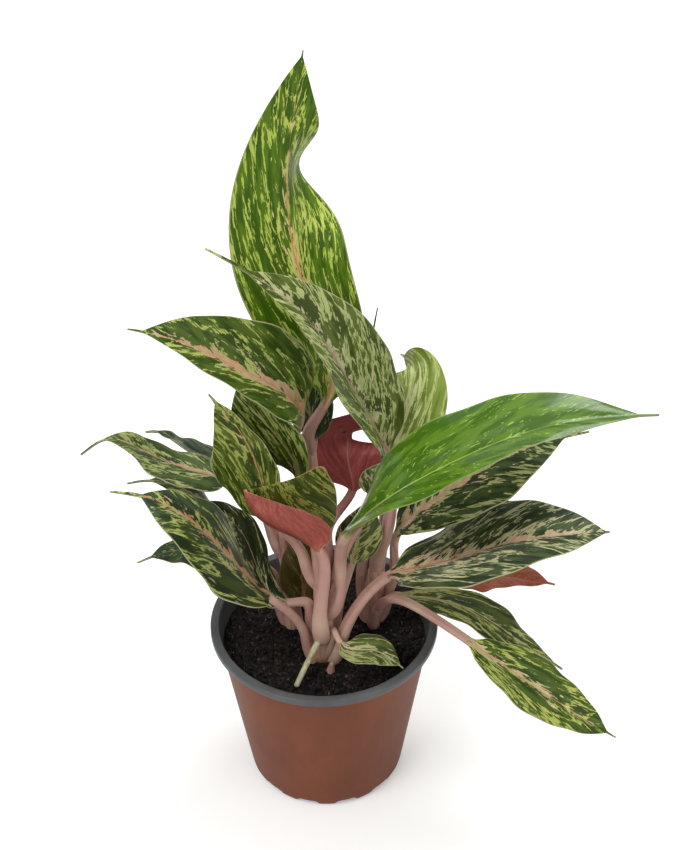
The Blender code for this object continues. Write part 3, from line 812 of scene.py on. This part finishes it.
@dataclass
class NurseryPot:
    """The tapered pot, in millimetres: a flat rim, a thin wall and twelve feet with notches between."""

    height: float = 116.5
    rim_radius: float = 70.0
    rim_width: float = 5.3
    lip: float = 4.6
    top_radius: float = 65.5
    base_radius: float = 48.4
    wall: float = 1.2
    feet: int = 12
    notch: float = 3.2
    around: int = 240
    drain_holes: int = 6
    drain_radius: float = 4.0
    drain_circle: float = 26.0

    def body_radius(self, height: float) -> float:
        """Outer radius of the tapered wall at this height."""
        return self.base_radius + (self.top_radius - self.base_radius) * height / (self.height - self.lip)

    def profile(self) -> list[tuple[float, float, float]]:
        """Return radius, height and share of the foot notch for each ring, from under to inside."""
        lip_bottom = self.height - self.lip
        inner = self.rim_radius - self.rim_width
        foot = self.base_radius - 2.4
        rings = [(8.0, 0, 0), (20, 0, 0), (foot - 6, 0, 0)]
        rings += [(foot - 4, 0, 0.2), (foot - 2, 0, 0.7), (foot, 0, 1.0)]
        rings += [(foot + 1.3, 0.5, 0.95), (self.base_radius - 0.4, 1.7, 0.7), (self.body_radius(4), 4, 0.15)]
        for height in np.linspace(7, lip_bottom - 1.4, 22):
            rings.append((self.body_radius(height), height, 0))
        top = self.body_radius(lip_bottom)
        rings += [(top + 0.1, lip_bottom - 0.5, 0), (top + 0.6, lip_bottom - 0.1, 0)]
        rings += [(self.rim_radius - 0.9, lip_bottom, 0)]
        rings += [(self.rim_radius - 0.3, lip_bottom + 0.2, 0), (self.rim_radius, lip_bottom + 0.7, 0)]
        rings += [(self.rim_radius, self.height - 0.8, 0), (self.rim_radius - 0.25, self.height - 0.25, 0)]
        rings += [(self.rim_radius - 0.9, self.height, 0), (inner + 0.9, self.height, 0)]
        rings += [(inner + 0.25, self.height - 0.2, 0), (inner, self.height - 0.8, 0)]
        for height in np.linspace(lip_bottom - 1, 5, 12):
            rings.append((self.body_radius(height) - self.wall, height, 0))
        rings += [(foot - 1, self.wall + self.notch, 0), (8.0, self.wall + self.notch, 0)]
        return rings

    def drain_holes_cut(self, piece: bpy.types.Object) -> None:
        """Cut the round drain holes through the floor of the pot.

        Args:
            piece: the pot.
        """
        for step in range(self.drain_holes):
            angle = tau * (step + 0.5) / self.drain_holes
            bpy.ops.object.select_all(action="DESELECT")
            bpy.ops.mesh.primitive_cylinder_add(
                vertices=40,
                radius=self.drain_radius * MM,
                depth=12 * MM,
                location=(self.drain_circle * MM * cos(angle), self.drain_circle * MM * sin(angle), 0),
            )
            cutter = bpy.context.active_object
            bpy.context.view_layer.objects.active = piece
            cut = piece.modifiers.new("drain_hole", "BOOLEAN")
            cut.object = cutter
            bpy.ops.object.modifier_apply(modifier=cut.name)
            bpy.data.objects.remove(cutter, do_unlink=True)

    def build(self) -> None:
        """Turn the pot, cut its drain holes and dress it in two plastics."""
        profile = self.profile()
        angles = np.arange(self.around) * tau / self.around
        notch = self.notch * smooth_step((0.5 - 0.5 * np.cos(self.feet * angles)) * 2.2 - 0.7)
        rings = [
            np.stack([radius * np.cos(angles), radius * np.sin(angles), height + share * notch], axis=-1)
            for radius, height, share in profile
        ]
        piece = roll_grid("nursery_pot", np.array(rings), {})
        self.drain_holes_cut(piece)
        piece.data.materials.append(PotPlastic("brown_polypropylene", "#773e22", "#6b361c", 0.5).build())
        piece.data.materials.append(PotPlastic("grey_polypropylene", "#595a5c", "#4c4d4e", 0.38).build())
        for face in piece.data.polygons:
            radius = Vector((face.center.x, face.center.y)).length / MM
            height = face.center.z / MM
            inside = radius < self.body_radius(height) - self.wall / 2 and height > 2.5
            face.material_index = int(inside or height > self.height - self.lip + 0.1)
        finish_piece(piece, ("nursery_pot",))


@dataclass
class Soil:
    """The peat in the pot, in millimetres, with loose crumbs and fibres on top."""

    top: float = 103.6
    edge_radius: float = 62.6
    floor: float = 3.75
    floor_radius: float = 43.4
    around: int = 220
    crumbs: int = 1100
    fibres: int = 170
    random_seed: int = 11
    mounds: tuple[tuple[float, float], ...] = ((-1, -22), (29, 14), (-19, 8), (3, -34))
    mound_height: float = 2.4

    def surface(self, x: float, y: float) -> float:
        """Height of the rough surface at a place, in millimetres."""
        spot = Vector((x, y, 0))
        lumps = noise.fractal(spot * 0.14, 0.6, 2.0, 5) * 1.5
        grain = noise.noise(spot * 1.1) * 0.7
        for foot in self.mounds:
            lumps += self.mound_height * exp(-(((spot - Vector((*foot, 0))).length / 11) ** 2))
        from_middle = spot.length / self.edge_radius
        return self.top - 1.5 * max(0.0, from_middle - 0.75) / 0.25 + lumps + grain - 0.6

    def build_bed(self, material: bpy.types.Material) -> None:
        """Turn the block of soil with its rough top."""
        angles = np.arange(self.around) * tau / self.around
        rings = []
        for radius, height in ((8, self.floor), (self.floor_radius, self.floor), (45, 8.0)):
            rings.append([(radius * cos(a), radius * sin(a), height) for a in angles])
        for radius in np.concatenate([[self.edge_radius], np.linspace(self.edge_radius - 0.4, 0.5, 74)]):
            ring = []
            for a in angles:
                x, y = radius * cos(a), radius * sin(a)
                ring.append((x, y, self.surface(x, y)))
            rings.append(ring)
        piece = roll_grid("potting_soil", np.array(rings), {})
        piece.data.materials.append(material)
        finish_piece(piece, ("potting_soil",))

    def scatter(self, chooser: random.Random) -> tuple[float, float]:
        """Pick an even place on the soil, clear of the pot's wall."""
        radius = (self.edge_radius - 3) * chooser.random() ** 0.5
        angle = tau * chooser.random()
        return radius * cos(angle), radius * sin(angle)

    def build_loose(self, material: bpy.types.Material, dry: bpy.types.Material) -> None:
        """Scatter crumbs and short fibres over the top, as two pieces."""
        chooser = random.Random(self.random_seed)
        for name, count, finish, length in (
            ("soil_crumbs", self.crumbs, material, 1.0),
            ("soil_fibres", self.fibres, dry, 9.0),
        ):
            bpy.ops.object.select_all(action="DESELECT")
            bpy.ops.mesh.primitive_ico_sphere_add(subdivisions=1, radius=MM)
            piece = bpy.context.active_object
            piece.name = name
            seedling = piece.data
            shape = [v.co.copy() for v in seedling.vertices]
            faces = [tuple(p.vertices) for p in seedling.polygons]
            points, all_faces = [], []
            for _ in range(count):
                x, y = self.scatter(chooser)
                size = chooser.uniform(0.5, 2.1) if length == 1 else 0.16
                sides = (size * length, size * chooser.uniform(0.6, 1), size * 0.8)
                stretch = Matrix.Diagonal(sides).to_3x3()
                turn = Matrix.Rotation(tau * chooser.random(), 3, "Z") @ Matrix.Rotation(
                    chooser.uniform(-0.25, 0.25), 3, "Y"
                )
                middle = Vector((x, y, self.surface(x, y) + size * 0.3)) * MM
                start = len(points)
                points += [turn @ (stretch @ (v * chooser.uniform(0.8, 1.2))) + middle for v in shape]
                all_faces += [tuple(start + i for i in f) for f in faces]
            seedling.clear_geometry()
            seedling.from_pydata([tuple(p) for p in points], [], all_faces)
            seedling.update()
            piece.data.materials.append(finish)
            finish_piece(piece)

    def build(self) -> None:
        """Build the bed of soil and what lies loose on it."""
        peat = PeatSoil().build()
        self.build_bed(peat)
        self.build_loose(peat, FleshyStem("dry_peat_fibre", "#54402f", "#75604c", "#33261c").build())


# ---------------------------------------------------------------- studio


@dataclass
class Studio:
    """A pale floor, soft lamps and the camera. Places are in metres."""

    camera_place: Point = (0.0115, -0.7651, 0.8425)
    camera_target: Point = (0.0115, 0.0, 0.266)
    camera_roll: float = -0.8
    lens: float = 72.0
    floor_glow: float = 0.2
    lamps: list[tuple[str, Point, float, float]] = field(
        default_factory=lambda: [
            ("key_lamp", (-0.7, -0.8, 1.5), 0.8, 13.5),
            ("fill_lamp", (1.0, -0.7, 0.9), 1.0, 4.0),
            ("top_lamp", (0.2, 0.4, 1.6), 0.7, 10.0),
        ]
    )

    def build_floor(self) -> None:
        """Lay a wide pale floor that shows white to the camera and keeps the shadow."""
        bpy.ops.object.select_all(action="DESELECT")
        bpy.ops.mesh.primitive_plane_add(size=12, location=(0, 0, -0.0004))
        floor = bpy.context.active_object
        floor.name = "studio_floor"
        g = Graph("pale_paper")
        g.finish(to_linear("#f2f2f0"), None, 0.0, Roughness=0.95, Specular_IOR_Level=0.1)
        seen = g.add("LightPath", (), out="Is Camera Ray")
        # The glow rises with distance, so that the floor stays white beyond the lamps' reach.
        distance = g.add("TexCoord", (), out="Object")
        distance = g.add("VectorMath", (distance,), out="Value", operation="LENGTH")
        glow = g.add("Math", (distance, 0.35, self.floor_glow), operation="MULTIPLY_ADD")
        glow = g.add("Math", (seen, glow), operation="MULTIPLY")
        g.shader.inputs["Emission Color"].default_value = (1, 1, 1, 1)
        g.tree.links.new(glow, g.shader.inputs["Emission Strength"])
        floor.data.materials.append(g.material)

    def build_lamps(self) -> None:
        """Hang the soft lamps, each turned to the middle of the plant."""
        for name, place, size, power in self.lamps:
            data = bpy.data.lights.new(name, "AREA")
            data.size = size
            data.energy = power
            lamp = bpy.data.objects.new(name, data)
            lamp.location = place
            lamp.rotation_euler = (Vector((0, 0, 0.22)) - Vector(place)).to_track_quat("-Z", "Y").to_euler()
            bpy.context.scene.collection.objects.link(lamp)

    def build_world(self) -> None:
        """Give even white surroundings that the camera sees as plain white."""
        world = bpy.data.worlds.new("studio_white")
        world.use_nodes = True
        sky = world.node_tree.nodes["Background"]
        sky.inputs["Color"].default_value = (1, 1, 1, 1)
        path = world.node_tree.nodes.new("ShaderNodeLightPath")
        spread = world.node_tree.nodes.new("ShaderNodeMapRange")
        spread.inputs[3].default_value = 0.55
        spread.inputs[4].default_value = 1.0
        world.node_tree.links.new(path.outputs["Is Camera Ray"], spread.inputs[0])
        world.node_tree.links.new(spread.outputs[0], sky.inputs["Strength"])
        bpy.context.scene.world = world

    def build_camera(self) -> None:
        """Stand the camera in front and above, looking down on the plant."""
        data = bpy.data.cameras.new("camera")
        data.lens = self.lens
        camera = bpy.data.objects.new("camera", data)
        back = (Vector(self.camera_place) - Vector(self.camera_target)).normalized()
        turn = back.to_track_quat("Z", "Y").to_matrix().to_4x4()
        camera.matrix_world = (
            Matrix.Translation(self.camera_place) @ turn @ Matrix.Rotation(radians(self.camera_roll), 4, "Z")
        )
        bpy.context.scene.collection.objects.link(camera)
        bpy.context.scene.camera = camera

    def build(self) -> None:
        """Build the floor, lamps, world and camera."""
        bpy.context.scene.view_settings.view_transform = "Standard"
        self.build_floor()
        self.build_lamps()
        self.build_world()
        self.build_camera()


def main() -> None:
    """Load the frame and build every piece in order."""
    logging.basicConfig(level=logging.INFO, format="%(name)s: %(message)s")
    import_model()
    NurseryPot().build()
    Soil().build()
    Plant().build()
    Studio().build()


if __name__ == "__main__":
    main()
